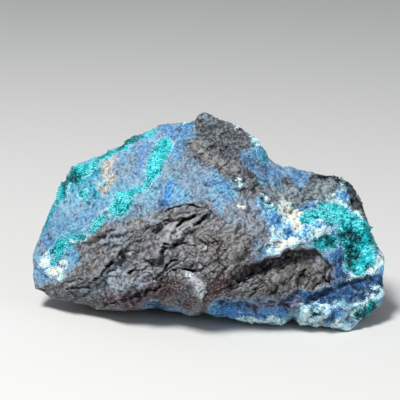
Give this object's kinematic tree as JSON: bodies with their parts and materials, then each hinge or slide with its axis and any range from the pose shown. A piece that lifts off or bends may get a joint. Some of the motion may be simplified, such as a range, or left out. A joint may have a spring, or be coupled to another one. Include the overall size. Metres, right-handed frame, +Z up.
{
  "type": "dioptase on matrix",
  "caption": "Hand specimen of dark slaty rock under a blue copper skin, with druses of small green dioptase crystals in its seams and end pocket.",
  "frame": {"origin": "bottom centre of the bounding box, on the surface the stone rests on", "axes": "+X along the stone's width, to the right as its broad coloured face is seen; -Y out of that face; +Z up"},
  "size_m": [0.1682, 0.0802, 0.0942],
  "materials": {
    "matrix": "rough broken slaty rock, dark grey to brown, under a granular lavender-blue to azure copper skin with white and pale cyan borders",
    "dioptase": "glassy emerald green to teal crystals, small and crowded"
  },
  "bodies": {
    "root": {"matrix": "matrix", "dioptase_upper_left_edge": "dioptase", "dioptase_band_top": "dioptase", "dioptase_band_middle": "dioptase", "dioptase_left_corner": "dioptase", "dioptase_small_pocket": "dioptase", "dioptase_right_pocket": "dioptase", "dioptase_lower_corner": "dioptase"}
  },
  "joints": []
}
